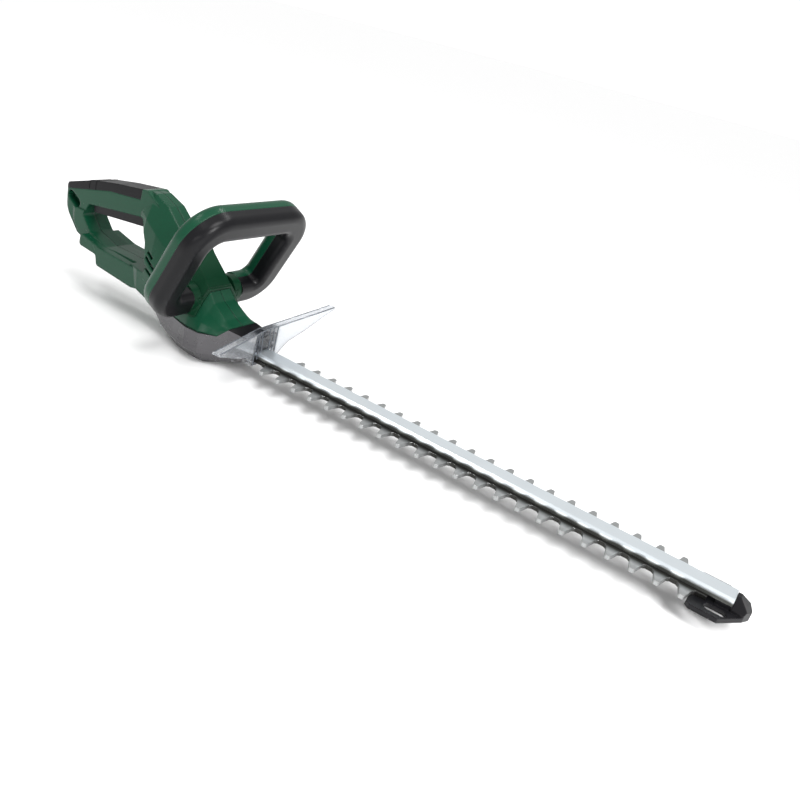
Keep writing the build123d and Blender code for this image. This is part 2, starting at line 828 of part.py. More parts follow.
def handle_front_shell():
    """Front part of the loop handle."""
    return loop_shell() & loop_block((-130, 130), (-40, 160), (LOOP_SPLIT, 40))


def handle_rear_shell():
    """Rear part of the loop handle."""
    return loop_shell() & loop_block((-130, 130), (-40, 160), (-40, LOOP_SPLIT))


def front_switch_bar():
    """Bar that the fingers press while they hold the loop."""
    low = LOOP_TOP - LOOP_BAR / 2 - 3.5
    half = SWITCH_BAR_HALF
    bar = loop_block((-half, half), (low, LOOP_TOP - 9), (-6.5, 6.5))
    bar = fillet(bar.edges().filter_by(Axis.Y).sort_by_distance(HUB)[:2], 3)
    flange = loop_block((-half - 3, half + 3), (LOOP_TOP - 13.2, LOOP_TOP - 9), (-6.5, 6.5))
    return bar + flange


def front_switch():
    """Switch that the bar closes."""
    return loop_block((-9, 9), (LOOP_TOP - 4.5, LOOP_TOP + 5), (-5, 5))


def coil_spring(length, radius, turns, wire):
    """Compression spring that stands on the z axis."""
    helix = Helix(pitch=(length - wire) / turns, height=length - wire, radius=radius)
    section = Plane(origin=helix @ 0, z_dir=helix % 0) * Circle(wire / 2)
    return Pos(0, 0, wire / 2) * sweep(section, path=helix)


def front_switch_springs():
    """Two springs that push the switch bar out."""
    springs = []
    for across in (-30, 30):
        spring = Rot(X=-90) * coil_spring(9.6, 2.6, 4, 0.7)
        springs.append(LOOP_PLANE.location * Pos(across, LOOP_TOP - 8.8, 0) * spring)
    return springs


def handle_bolts():
    """Two bolts that hold the arms of the loop to the saddle."""
    bolt = rod(HUB.X, HUB.Z, 35, ARM_START + WALL, 3)
    head = rod(HUB.X, HUB.Z, ARM_START + WALL, ARM_START + WALL + 4, 6)
    return both_sides(bolt + head)


def handle_saddle():
    """Band over the body that carries the loop, with a round flange on each side."""
    band = body_form(-WALL) & block((HUB.X - 20, 0.2 - ARM_START, 30), (HUB.X + 20, ARM_START - 0.2, 120))
    for flange in both_sides(rod(HUB.X, HUB.Z, 30, ARM_START - 0.1, HUB_RADIUS)):
        band += flange
    band -= body_form()
    for bolt in handle_bolts():
        band -= bolt
    return band


# Controls and wiring ---------------------------------------------------------------------


def rear_trigger():
    """Long lever under the rear handle."""
    outline = ((-339, 86.5), (-237, 98.5), (-237, 117), (-322, 107), (-339, 107))
    lever = side_slab(outline, 2.5, TRIGGER_HALF)
    return lever - rod(*TRIGGER_PIN, -20, 20, TRIGGER_PIN_RADIUS + RUNNING)


def trigger_pin():
    """Pin that the trigger turns on."""
    return rod(*TRIGGER_PIN, -14, 14, TRIGGER_PIN_RADIUS)


def trigger_spring():
    """Spring that pushes the trigger down."""
    return Pos(-253, 0, 115.4) * coil_spring(18.4, 3.2, 5, 0.8)


def trigger_switch():
    """Switch above the trigger."""
    body = block((-290, -6, 119.5), (-264, 6, 129))
    return body + block((-279, -2, 118), (-275, 2, 119.5))


def terminal_block():
    """Block of battery contacts in the ceiling of the dock."""
    return block((-262, -14, 30), (-246, 14, 43))


def battery_contacts():
    """Four blades that enter the battery."""
    return [block((-276, y - 0.4, 30.5), (-262, y + 0.4, 35)) for y in (-10.5, -3.5, 3.5, 10.5)]


def control_board():
    """Circuit board with its larger components."""
    board = block((BOARD_X - 1.6, -24, 36), (BOARD_X, 24, 94))
    board += Pos(BOARD_X - 6, -10, 80) * Rot(Y=90) * Cylinder(5, 8.9)
    board += block((BOARD_X - 8, 4, 70), (BOARD_X - 1.6, 16, 88))
    return board + block((BOARD_X - 5, -14, 50), (BOARD_X - 1.6, 8, 62))


def wires(x_low, x_high, z):
    """Pair of insulated leads along the tool."""
    length = x_high - x_low
    return [
        Pos((x_low + x_high) / 2, y, z) * Rot(Y=90) * Cylinder(1.4, length) for y in (-6, 6)
    ]


def battery_leads():
    """Leads from the battery contacts to the board."""
    return wires(-246, BOARD_X - 1.6, 41.5)


def motor_leads():
    """Leads from the board to the motor."""
    return wires(BOARD_X, MOTOR_X - sqrt(MOTOR_RADIUS**2 - 6**2) - 0.7, 45)


def write(name, shapes):
    """Writes one node, moved to the tool's origin."""
    shapes = shapes if isinstance(shapes, list) else [shapes]
    solids = [solid.moved(Location(-ORIGIN)) for shape in shapes for solid in shape.solids()]
    shape = solids[0] if len(solids) == 1 else Compound(children=solids)
    export_step(shape, f"parts/{name}.step")


os.makedirs("parts", exist_ok=True)
whole_housing = housing()
write("housing_left", whole_housing & block((-500, 0, -60), (0, 100, 200)))
write("housing_right", whole_housing & block((-500, -100, -60), (0, 0, 200)))
write("housing_screws", [housing_screw(*post) for post in HOUSING_POSTS])
write("rear_grip", rear_grip())
write("gear_housing", gear_housing())
write("gear_cover", gear_cover())
write("cover_screws", cover_screws())
write("nose_cover", nose_cover())
write("gearbox_plate", gearbox_plate())
write("gearbox_screws", gearbox_screws())
write("crank_gear", crank_gear())
write("crank_shaft", crank_shaft())
write("crank_eccentrics", crank_eccentrics())
write("crank_bearings", crank_bearings())
write("motor_can", motor_can())
write("motor_magnets", motor_magnets())
write("motor_armature", motor_armature())
write("motor_shaft", motor_shaft())
write("motor_pinion", motor_pinion())
write("cooling_fan", cooling_fan())
write("motor_screws", motor_screws())
write("upper_blade", upper_blade())
write("lower_blade", lower_blade())
write("blade_rail", blade_rail())
write("blade_screws", blade_screws())
write("rail_screws", rail_screws())
write("rail_nuts", rail_nuts())
write("tip_protector", tip_protector())
write("tip_screw", tip_screw())
write("blade_seal", blade_seal())
write("hand_guard", hand_guard())
write("guard_screws", guard_screws())
write("handle_front_shell", handle_front_shell())
write("handle_rear_shell", handle_rear_shell())
write("handle_screws", loop_screws())
write("handle_saddle", handle_saddle())
write("handle_bolts", handle_bolts())
write("front_switch_bar", front_switch_bar())
write("front_switch_springs", front_switch_springs())
write("front_switch", front_switch())
write("rear_trigger", rear_trigger())
write("trigger_pin", trigger_pin())
write("trigger_spring", trigger_spring())
write("trigger_switch", trigger_switch())
write("terminal_block", terminal_block())
write("battery_contacts", battery_contacts())
write("control_board", control_board())
write("battery_leads", battery_leads())
write("motor_leads", motor_leads())
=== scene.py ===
# %% [markdown]
# # A cordless hedge trimmer, finished in Blender
#
# The trimmer's solids come ready made, in metres, in their real places. What is left is what the
# hand and eye notice: moulded plastic with a grain, soft grip rubber, painted alloy, ground steel,
# and the small things that repeat, such as screw sockets, ribs, beads and honed tooth edges.
# First the frame is loaded.

# %% Load the frame
import json
from math import cos, pi, radians, sin

import bmesh
import bpy
import numpy as np
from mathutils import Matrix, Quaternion, Vector
from mathutils.bvhtree import BVHTree


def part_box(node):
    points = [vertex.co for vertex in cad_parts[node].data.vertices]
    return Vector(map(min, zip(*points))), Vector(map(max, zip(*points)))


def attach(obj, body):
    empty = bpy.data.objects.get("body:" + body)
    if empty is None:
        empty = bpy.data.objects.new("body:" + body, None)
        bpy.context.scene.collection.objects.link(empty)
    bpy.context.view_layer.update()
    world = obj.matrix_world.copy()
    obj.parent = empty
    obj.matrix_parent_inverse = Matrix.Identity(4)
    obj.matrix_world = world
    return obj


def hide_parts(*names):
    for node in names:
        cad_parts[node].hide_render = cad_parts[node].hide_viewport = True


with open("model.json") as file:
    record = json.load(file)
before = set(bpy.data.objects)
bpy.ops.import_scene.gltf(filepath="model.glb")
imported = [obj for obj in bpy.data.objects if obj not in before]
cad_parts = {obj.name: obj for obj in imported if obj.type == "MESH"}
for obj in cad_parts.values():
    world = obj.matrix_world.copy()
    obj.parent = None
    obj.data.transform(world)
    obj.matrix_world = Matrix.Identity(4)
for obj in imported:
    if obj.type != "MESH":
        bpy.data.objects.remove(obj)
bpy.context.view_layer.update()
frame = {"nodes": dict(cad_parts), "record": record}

MM = 0.001
CAD = frame["nodes"]
SLOTS = {part["node"]: part["material_slot"] for part in frame["record"]["subparts"]}

# %% [markdown]
# ## Finishes
#
# Each finish is one Principled shader fed by noise read from Object coordinates, so the grain keeps
# its real size on every piece. Image textures could do it too, but noise needs no files and never
# shows a seam. One helper adds a node and sets its sockets, and one makes the common parts.


# %% Helpers that build a finish
def add_node(tree, kind, sockets=None, **settings):
    node = tree.nodes.new(kind)
    for key, value in settings.items():
        setattr(node, key, value)
    for key, value in (sockets or {}).items():
        if isinstance(value, bpy.types.NodeSocket):
            tree.links.new(value, node.inputs[key])
        else:
            node.inputs[key].default_value = value
    return node


def tint(colour, amount):
    return (*[min(1.0, channel * amount) for channel in colour[:3]], 1.0)


EVEN = (1, 1, 1)


def noise_of(tree, place, size, detail=2.0, stretch=EVEN):
    """Noise whose features are about size metres across."""
    mapped = add_node(tree, "ShaderNodeMapping", {"Vector": place, "Scale": stretch})
    sockets = {"Vector": mapped.outputs["Vector"], "Scale": 1 / size, "Detail": detail}
    return add_node(tree, "ShaderNodeTexNoise", sockets).outputs["Fac"]


def between(tree, value, low, high, from_low=0.3, from_high=0.7):
    sockets = {"Value": value, "From Min": from_low, "From Max": from_high}
    sockets.update({"To Min": low, "To Max": high})
    return add_node(tree, "ShaderNodeMapRange", sockets).outputs["Result"]


def blend_colours(tree, amount, first, second):
    ramp = add_node(tree, "ShaderNodeMix", {"Factor": amount}, data_type="RGBA")
    for index, value in ((6, first), (7, second)):
        if isinstance(value, bpy.types.NodeSocket):
            tree.links.new(value, ramp.inputs[index])
        else:
            ramp.inputs[index].default_value = value
    return ramp.outputs[2]


def line_across(tree, place, axis, at, half_width):
    """1 within half_width of the plane where the place's axis is at, and 0 elsewhere."""
    parts = add_node(tree, "ShaderNodeSeparateXYZ", {"Vector": place})
    away = add_node(tree, "ShaderNodeMath", {0: parts.outputs[axis], 1: at}, operation="SUBTRACT")
    away = add_node(tree, "ShaderNodeMath", {0: away.outputs[0]}, operation="ABSOLUTE").outputs[0]
    return between(tree, away, 1, 0, half_width * 0.6, half_width)


def zone_along(tree, place, axis, start, full):
    """0 up to start along an axis, rising to 1 at full. Distances from zero count both ways."""
    parts = add_node(tree, "ShaderNodeSeparateXYZ", {"Vector": place})
    away = add_node(tree, "ShaderNodeMath", {0: parts.outputs[axis]}, operation="ABSOLUTE")
    return between(tree, away.outputs[0], 0, 1, start, full)


def bump_of(tree, height, depth, normal=None):
    sockets = {"Height": height, "Distance": depth, "Strength": 1.0}
    if normal is not None:
        sockets["Normal"] = normal
    return add_node(tree, "ShaderNodeBump", sockets).outputs["Normal"]


def finish_of(name, colour, rough, spread=0.06, mottle=0.12, grain=(0.0006, 0.00002),
              cloud=0.03, stretch=EVEN, lines=(), zones=(), soften=0.0, **shader_sockets):
    """A finish with cloudy colour, uneven gloss and a fine grain.

    Spread and mottle say how much gloss and colour vary. Grain is (size, depth) and cloud a size.
    Lines are (axis, at, half width, tint). Zones are (axis, from, to, colour), and the colour
    fills the part nearer than from, fading out at to. Soften is the radius that edges seem to have.
    """
    material = bpy.data.materials.new(name)
    material.use_nodes = True
    tree = material.node_tree
    tree.nodes.clear()
    place = add_node(tree, "ShaderNodeTexCoord").outputs["Object"]
    shader = add_node(tree, "ShaderNodeBsdfPrincipled", shader_sockets)
    clouds = noise_of(tree, place, cloud, 4.0)
    fine = noise_of(tree, place, grain[0], 3.0, stretch)
    base = blend_colours(tree, clouds, tint(colour, 1 - mottle), tint(colour, 1 + mottle))
    round_edges = None
    if soften:
        round_edges = add_node(tree, "ShaderNodeBevel", {"Radius": soften}, samples=4).outputs["Normal"]
    normal = bump_of(tree, fine, grain[1], round_edges)
    for axis, at, half, amount in lines:
        mark = line_across(tree, place, axis, at, half)
        base = blend_colours(tree, mark, base, tint(colour, amount))
        normal = bump_of(tree, between(tree, mark, 1, 0, 0, 1), half, normal)
    for axis, start, full, zone_colour in zones:
        outside = zone_along(tree, place, axis, start, full)
        base = blend_colours(tree, outside, (*zone_colour, 1.0), base)
    tree.links.new(base, shader.inputs["Base Color"])
    patchy = noise_of(tree, place, cloud * 0.4, 3.0)
    tree.links.new(between(tree, patchy, rough - spread, rough + spread), shader.inputs["Roughness"])
    tree.links.new(normal, shader.inputs["Normal"])
    add_node(tree, "ShaderNodeOutputMaterial", {"Surface": shader.outputs["BSDF"]})
    return material


# %% [markdown]
# ### Plastics and rubber
#
# The shells are glass-filled nylon, moulded dark green with a satin spark-eroded skin, so the
# highlight is wide but still clear. The soft grip is a thermoplastic rubber moulded over the shell,
# which is duller and has a deeper stipple. Where the two halves of the shell meet there is a hairline.

# %% Plastic and rubber finishes
HAIRLINE = [("Y", 0.0, 0.00022, 0.5)]
finishes = {
    "housing_green": finish_of("moulded_green", (0.0040, 0.052, 0.025), 0.26, 0.015, 0.05,
                               (0.0009, 0.00002), 0.05, lines=HAIRLINE, soften=0.003,
                               **{"Specular IOR Level": 0.24, "Coat Weight": 0.03,
                                  "Coat Roughness": 0.2}),
    "saddle_green": finish_of("moulded_deep_green", (0.0042, 0.034, 0.015), 0.30, 0.015, 0.05,
                              (0.0009, 0.00002), 0.05, soften=0.002,
                              **{"Specular IOR Level": 0.13}),
    "soft_grip": finish_of("grip_rubber", (0.005, 0.005, 0.006), 0.40, 0.03, 0.1,
                           (0.0011, 0.00004), 0.03, soften=0.002,
                           **{"Specular IOR Level": 0.15, "Sheen Weight": 0.02}),
    "black_plastic": finish_of("satin_black", (0.006, 0.006, 0.0072), 0.31, 0.02, 0.1,
                               (0.0008, 0.00002), 0.04, soften=0.0015,
                               **{"Specular IOR Level": 0.2}),
    "lead_cover": finish_of("lead_skin", (0.30, 0.02, 0.02), 0.42, 0.05, 0.12),
    "felt": finish_of("pressed_felt", (0.09, 0.09, 0.08), 0.9, 0.05, 0.35, (0.0005, 0.0002)),
    "board_green": finish_of("board_lacquer", (0.02, 0.16, 0.07), 0.25, 0.05, 0.25,
                             (0.003, 0.00003), 0.004),
}
print("plastics:", ", ".join(finishes))

# %% [markdown]
# ### Metals and the clear guard
#
# The gear case is die-cast and painted a dark metallic grey. The rail is pale anodised aluminium with
# drawing lines along its length, made by noise that is stretched along X, and its lower side is
# painted dark as painted shade. The blades are ground steel whose lines run across, and near the
# rail they are painted dark as painted shade from the rail. The guard is clear polycarbonate:
# mostly transmission, with little colour, and darker at its foot.

# %% Metal and clear finishes
ALONG = (0.02, 1, 1)
ACROSS = (1, 0.04, 1)
finishes["dark_alloy"] = finish_of("gear_case_paint", (0.105, 0.102, 0.108), 0.28, 0.02, 0.04,
                                   (0.0009, 0.000006), 0.03, Metallic=0.75,
                                   **{"Coat Weight": 0.08, "Coat Roughness": 0.2})
# The rail is painted dark below 32.4 mm, fading out by 34.4 mm: painted shade on its lower side.
finishes["rail_aluminium"] = finish_of("drawn_aluminium", (0.82, 0.88, 0.915), 0.30, 0.02, 0.02,
                                       (0.0008, 0.000006), 0.08, ALONG,
                                       zones=[("Z", 32.4 * MM, 34.4 * MM, (0.16, 0.165, 0.155))],
                                       Metallic=0.85)
# The blades are painted dark within 16 mm of the middle, fading out by 26 mm: painted shade under the
# rail.
finishes["blade_steel"] = finish_of("ground_steel", (0.36, 0.37, 0.37), 0.38, 0.06, 0.12,
                                    (0.0010, 0.00002), 0.012, ACROSS,
                                    zones=[("Y", 16 * MM, 26 * MM, (0.03, 0.03, 0.027))],
                                    Metallic=0.8)
finishes["screw_steel"] = finish_of("zinc_steel", (0.40, 0.41, 0.43), 0.32, 0.07, 0.12,
                                    (0.0006, 0.00001), 0.004, Metallic=1.0)
finishes["machined_steel"] = finish_of("machined_steel", (0.46, 0.46, 0.47), 0.30, 0.06, 0.1,
                                       (0.0006, 0.00002), 0.01, ALONG, Metallic=1.0)
finishes["contact_brass"] = finish_of("contact_brass", (0.72, 0.56, 0.26), 0.3, 0.06, 0.1,
                                      (0.0006, 0.00001), 0.004, Metallic=1.0)
finishes["clear_guard"] = finish_of("clear_guard", (0.72, 0.75, 0.79), 0.07, 0.02, 0.05,
                                    (0.004, 0.00002), 0.03,
                                    zones=[("Y", 17 * MM, 24 * MM, (0.09, 0.10, 0.12))],
                                    **{"Transmission Weight": 0.85, "IOR": 1.49, "Alpha": 0.75})
finishes["guard_edge"] = finish_of("guard_edge", (0.20, 0.22, 0.25), 0.12, 0.03, 0.1,
                                   (0.003, 0.00001), 0.03, **{"Transmission Weight": 0.5,
                                   "IOR": 1.49})
honed = finish_of("honed_edge", (0.46, 0.47, 0.47), 0.25, 0.05, 0.06, (0.0008, 0.00001), 0.01,
                  ACROSS, Metallic=0.95)
shadow_black = finish_of("socket_shadow", (0.010, 0.010, 0.011), 0.6, 0.05, 0.2)

for name, node in CAD.items():
    node.data.materials.clear()
    node.data.materials.append(finishes[SLOTS[name]])
print("finished", len(CAD), "solids with", len(finishes), "finishes")

# %% [markdown]
# ## Tools for reading the solids
#
# Added pieces must sit on the real surfaces. A ray cast at a solid gives the point it meets, and a
# split into loose parts gives each screw of a group, so no place is typed in twice.


# %% Rays and loose parts
def surface_tree(*names):
    """The faces of some solids, ready to be met by rays."""
    points, faces = [], []
    for name in names:
        mesh = CAD[name].data
        start = len(points)
        points += [v.co.copy() for v in mesh.vertices]
        faces += [[start + i for i in polygon.vertices] for polygon in mesh.polygons]
    return BVHTree.FromPolygons(points, faces)


def hit(tree, start, direction):
    """The point and outward normal that a ray meets first, or None."""
    point, normal, _, _ = tree.ray_cast(Vector(start), Vector(direction).normalized())
    if point is None:
        return None
    return point, (normal if normal.dot(Vector(direction)) < 0 else -normal)


def loose_parts(name):
    """The corners of each separate solid in a node, as arrays."""
    work = bmesh.new()
    work.from_mesh(CAD[name].data)
    bmesh.ops.remove_doubles(work, verts=work.verts, dist=1e-6)
    seen, parts = set(), []
    for vertex in work.verts:
        if vertex in seen:
            continue
        stack, part = [vertex], []
        seen.add(vertex)
        while stack:
            here = stack.pop()
            part.append(here.co[:])
            for edge in here.link_edges:
                other = edge.other_vert(here)
                if other not in seen:
                    seen.add(other)
                    stack.append(other)
        parts.append(np.array(part))
    work.free()
    return parts


print("screws that hold the housing:", len(loose_parts("housing_screws")))

# %% [markdown]
# ## Tools for Geometry Nodes
#
# What repeats, or follows a path, is made by Geometry Nodes: the rule is stated once and the sizes
# stay as named inputs. A finished result is turned into a plain mesh, because instances are not
# exported. The next cell has what every tree here needs.


# %% Build, set and bake a node tree
def new_tree(title, inputs):
    """An empty Geometry Nodes tree with named inputs, given as (name, socket kind)."""
    tree = bpy.data.node_groups.new(title, "GeometryNodeTree")
    tree.interface.new_socket("Geometry", in_out="INPUT", socket_type="NodeSocketGeometry")
    for name, kind in inputs:
        tree.interface.new_socket(name, in_out="INPUT", socket_type="NodeSocket" + kind)
    tree.interface.new_socket("Geometry", in_out="OUTPUT", socket_type="NodeSocketGeometry")
    return tree, tree.nodes.new("NodeGroupInput")


def end_tree(tree, given, shape):
    """Ends a tree in Realize Instances and Set Material."""
    real = add_node(tree, "GeometryNodeRealizeInstances", {"Geometry": shape})
    painted = add_node(tree, "GeometryNodeSetMaterial", {"Geometry": real.outputs[0]})
    tree.links.new(given.outputs["Finish"], painted.inputs["Material"])
    out = tree.nodes.new("NodeGroupOutput")
    tree.links.new(painted.outputs[0], out.inputs[0])
    return tree


def grow(name, mesh, tree, body, slot, **values):
    """Runs a tree on a mesh, keeps the result as a plain mesh piece, and puts it on its body."""
    seed = bpy.data.objects.new(name + "_seed", mesh)
    modifier = seed.modifiers.new("rule", "NODES")
    modifier.node_group = tree
    for item in tree.interface.items_tree:
        key = item.name.replace(" ", "_").lower()
        if item.in_out == "INPUT" and key in values:
            modifier[item.identifier] = values[key]
    bpy.context.scene.collection.objects.link(seed)
    graph = bpy.context.evaluated_depsgraph_get()
    result = bpy.data.meshes.new_from_object(seed.evaluated_get(graph), depsgraph=graph)
    seed.modifiers.remove(modifier)
    bpy.data.objects.remove(seed)
    return place_piece(name, result, body)


def place_piece(name, mesh, body, sharp=radians(35)):
    """Makes an object of a finished mesh, with clean normals, and puts it on its body."""
    work = bmesh.new()
    work.from_mesh(mesh)
    bmesh.ops.remove_doubles(work, verts=work.verts, dist=1e-6)
    bmesh.ops.recalc_face_normals(work, faces=work.faces)
    for face in work.faces:
        face.smooth = True
    for edge in work.edges:
        edge.smooth = len(edge.link_faces) == 2 and edge.calc_face_angle(0) < sharp
    work.to_mesh(mesh)
    work.free()
    mesh.name = name
    piece = bpy.data.objects.new(name, mesh)
    bpy.context.scene.collection.objects.link(piece)
    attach(piece, body)
    print(name, "has", len(mesh.polygons), "faces and rides on", body)
    return piece


def path_mesh(runs, closed=False):
    """A mesh of edges only, one run of points after another."""
    mesh = bpy.data.meshes.new("path")
    points, edges = [], []
    for run in runs:
        start = len(points)
        points += [tuple(p) for p in run]
        edges += [(start + i, start + i + 1) for i in range(len(run) - 1)]
        if closed:
            edges.append((start + len(run) - 1, start))
    mesh.from_pydata(points, edges, [])
    return mesh


# %% [markdown]
# ### A bead along a path
#
# A bead, rim or rib is one round profile carried along a line of points. Curve to Mesh does exactly
# this, with a circle of a given radius and number of sides as its profile.

# %% The bead rule
bead_rule, given = new_tree("bead_along_path", [("Radius", "Float"), ("Sides", "Int"),
                                                ("Finish", "Material")])
curve = add_node(bead_rule, "GeometryNodeMeshToCurve", {"Mesh": given.outputs["Geometry"]})
ring = add_node(bead_rule, "GeometryNodeCurvePrimitiveCircle",
                {"Resolution": given.outputs["Sides"], "Radius": given.outputs["Radius"]})
bead = add_node(bead_rule, "GeometryNodeCurveToMesh",
                {"Curve": curve.outputs[0], "Profile Curve": ring.outputs[0], "Fill Caps": True})
end_tree(bead_rule, given, bead.outputs[0])


def bead_piece(name, runs, radius, body, slot, finish=None, closed=False, sides=8):
    return grow(name, path_mesh(runs, closed), bead_rule, body, slot, radius=radius, sides=sides,
                finish=finish or finishes[slot])


# %% [markdown]
# ## The saddle's raised edges
#
# The band over the motor housing has a raised bead along its front and rear edges. Rays shot at the
# band from all round, in the plane of each edge, find where the bead lies.

# %% Saddle beads
saddle_low, saddle_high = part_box("handle_saddle")
saddle = surface_tree("handle_saddle")
SADDLE_EDGE = 1.6 * MM
SADDLE_STEPS = 60
saddle_foot = saddle_low.z + 4 * MM
flange_start = saddle_high.y - 2.5 * MM
saddle_runs = []
for edge_x in (saddle_low.x + SADDLE_EDGE, saddle_high.x - SADDLE_EDGE):
    middle = Vector((edge_x, 0, saddle_low.z + 14 * MM))
    run = []
    for step in range(SADDLE_STEPS + 1):
        turn = pi * step / SADDLE_STEPS
        away = Vector((0, cos(turn), sin(turn)))
        met = hit(saddle, middle + away * 0.15, -away)
        if met and met[0].z > saddle_foot and abs(met[0].y) < flange_start:
            run.append(met[0] + met[1] * 0.1 * MM)
    saddle_runs.append(run)
bead_piece("saddle_edge_beads", saddle_runs, 0.9 * MM, "root", "saddle_green")

# %% [markdown]
# ## Rings round the flanges
#
# Each arm of the loop handle meets the saddle in a round flange. A thin ring at the joint catches
# the light, as the turned lip does on the real one.

# %% Flange rings
hub_x = (saddle_low.x + saddle_high.x) / 2
HUB_HEIGHT = 76 * MM
OUTER_RING = (18.2 * MM, 0.9 * MM)
INNER_RING = (15.2 * MM, 0.3 * MM)
ring_angles = [2 * pi * i / 48 for i in range(48)]
ring_runs = []
for side in (-1, 1):
    for radius, inward in (OUTER_RING, INNER_RING):
        ring_runs.append([(hub_x + radius * cos(turn), side * (saddle_high.y - inward),
                           HUB_HEIGHT + radius * sin(turn)) for turn in ring_angles])
bead_piece("flange_rings", ring_runs, 0.7 * MM, "root", "saddle_green", closed=True)

# %% [markdown]
# ## The clear guard's rim
#
# The guard's top is folded into a lip, and both edges of the lip are rounded, so they carry bright
# lines of light. Rays from above find the lip at each step along a wing, and a bead follows it.

# %% Guard rim
guard = surface_tree("hand_guard")
guard_low, guard_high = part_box("hand_guard")
ABOVE_GUARD = 0.2
STATION_STEP = 2 * MM
SCAN_STEP = 0.4 * MM
LIP_DROP = 1.5 * MM
INSET_X, INSET_Z = 0.3 * MM, 0.2 * MM
rim_front, rim_back = [], []
for station in range(-54, 55):
    y = station * STATION_STEP
    line = []
    x = guard_low.x
    while x < guard_high.x:
        met = hit(guard, (x, y, ABOVE_GUARD), (0, 0, -1))
        if met:
            line.append(met[0])
        x += SCAN_STEP
    if not line:
        continue
    top = max(point.z for point in line)
    lip = [point for point in line if point.z > top - LIP_DROP]
    rim_back.append(lip[0] + Vector((INSET_X, 0, -INSET_Z)))
    rim_front.append(lip[-1] + Vector((-INSET_X, 0, -INSET_Z)))
bead_piece("guard_rim", [rim_front, rim_back], 0.75 * MM, "root", "clear_guard",
           finishes["guard_edge"])
print("guard lip reaches", round(max(p.z for p in rim_front) * 1000), "mm above the belly")

# %% [markdown]
# ## Ribs on the guard's foot
#
# The guard's foot is stiffened by upright ribs, which also hide its screws. Rays from the front
# find the face that each rib climbs, so a rib bends where the face bends.

# %% Guard ribs
RIB_PLACES = (-19, -13, -7, 7, 13, 19)
RIB_STEP = 0.8 * MM
FACING_FRONT = 0.3
foot_ribs = []
for y in RIB_PLACES:
    run = []
    z = guard_low.z
    while z < guard_high.z:
        met = hit(guard, (guard_high.x + 0.02, y * MM, z), (-1, 0, 0))
        if met and abs(met[1].x) > FACING_FRONT:
            run.append(met[0] + Vector((0.1 * MM, 0, 0)))
        z += RIB_STEP
    if len(run) > 3:
        foot_ribs.append(run)
bead_piece("guard_foot_ribs", foot_ribs, 0.8 * MM, "root", "clear_guard", finishes["guard_edge"])

# %% [markdown]
# ## Star sockets in the screw heads
#
# Every screw here is driven by a six-point star bit. A thin cap with a star-shaped hole sits on each
# head, over a dark floor, and one rule copies both to all heads. The heads are found on the solids:
# each loose part's wider end is its head.


# %% One cap and one floor
STAR_RADIUS, STAR_WAVE, STAR_POINTS = 0.42, 0.17, 6
around = [2 * pi * i / 36 for i in range(36)]


def star_radius(turn):
    return STAR_RADIUS * (1 + STAR_WAVE * cos(STAR_POINTS * turn))


def stacked_rings(name, rings):
    """A closed band of quads through rings of equal length, and back to the first."""
    mesh = bpy.data.meshes.new(name)
    count = len(rings[0])
    points = [point for ring_points in rings for point in ring_points]
    faces = []
    for level in range(len(rings)):
        above = (level + 1) % len(rings)
        for i in range(count):
            j = (i + 1) % count
            faces.append((level * count + i, level * count + j, above * count + j, above * count + i))
    mesh.from_pydata(points, [], faces)
    return bpy.data.objects.new(name, mesh)


def ring_at(outline, size, height):
    return [(x * size, y * size, height) for x, y in outline]


star = [(star_radius(turn) * cos(turn), star_radius(turn) * sin(turn)) for turn in around]
circle = [(cos(turn), sin(turn)) for turn in around]
cap_stamp = stacked_rings("cap_stamp", [
    ring_at(star, 1, 0.0), ring_at(star, 1, 0.13), ring_at(circle, 0.80, 0.16),
    ring_at(circle, 0.94, 0.11), ring_at(circle, 0.99, 0.0)])
floor_stamp = stacked_rings("floor_stamp", [
    ring_at(star, 0.01, 0.02), ring_at(star, 1, 0.02), ring_at(star, 1, 0.01),
    ring_at(star, 0.01, 0.01)])
print("cap", len(cap_stamp.data.polygons), "faces, floor", len(floor_stamp.data.polygons))

# %% The copying rule
stamp_rule, given = new_tree("stamp_on_points", [("Stamp", "Object"), ("Finish", "Material")])
stamp_info = add_node(stamp_rule, "GeometryNodeObjectInfo", {"Object": given.outputs["Stamp"]})
facing = add_node(stamp_rule, "GeometryNodeInputNamedAttribute", {"Name": "facing"},
                  data_type="FLOAT_VECTOR")
wide = add_node(stamp_rule, "GeometryNodeInputNamedAttribute", {"Name": "wide"}, data_type="FLOAT")
turned = add_node(stamp_rule, "FunctionNodeAlignRotationToVector", {"Vector": facing.outputs[0]})
copies = add_node(stamp_rule, "GeometryNodeInstanceOnPoints",
                  {"Points": given.outputs["Geometry"], "Instance": stamp_info.outputs["Geometry"],
                   "Rotation": turned.outputs[0], "Scale": wide.outputs[0]})
end_tree(stamp_rule, given, copies.outputs[0])


def heads_of(name, axis):
    """Centre, outward direction and radius of the head of each screw in a node."""
    heads = []
    for part in loose_parts(name):
        across = [i for i in range(3) if i != axis]
        ends = []
        for sign in (-1, 1):
            far = (part[:, axis] * sign).max()
            rim = part[part[:, axis] * sign > far - 0.02 * MM]
            middle = (part.min(0) + part.max(0)) / 2
            middle[axis] = far * sign
            reach = np.hypot(*(rim[:, across] - middle[across]).T).max() if len(rim) else 0
            ends.append((reach, sign, middle))
        reach, sign, middle = max(ends, key=lambda end: end[0])
        facing_way = [0, 0, 0]
        facing_way[axis] = sign
        heads.append((middle, facing_way, reach))
    return heads


def stamped(name, heads, stamp, body, slot, finish):
    mesh = bpy.data.meshes.new("heads")
    mesh.from_pydata([tuple(h[0]) for h in heads], [], [])
    ways = mesh.attributes.new("facing", "FLOAT_VECTOR", "POINT")
    ways.data.foreach_set("vector", [v for h in heads for v in h[1]])
    mesh.attributes.new("wide", "FLOAT", "POINT").data.foreach_set("value", [h[2] for h in heads])
    return grow(name, mesh, stamp_rule, body, slot, stamp=stamp, finish=finish)


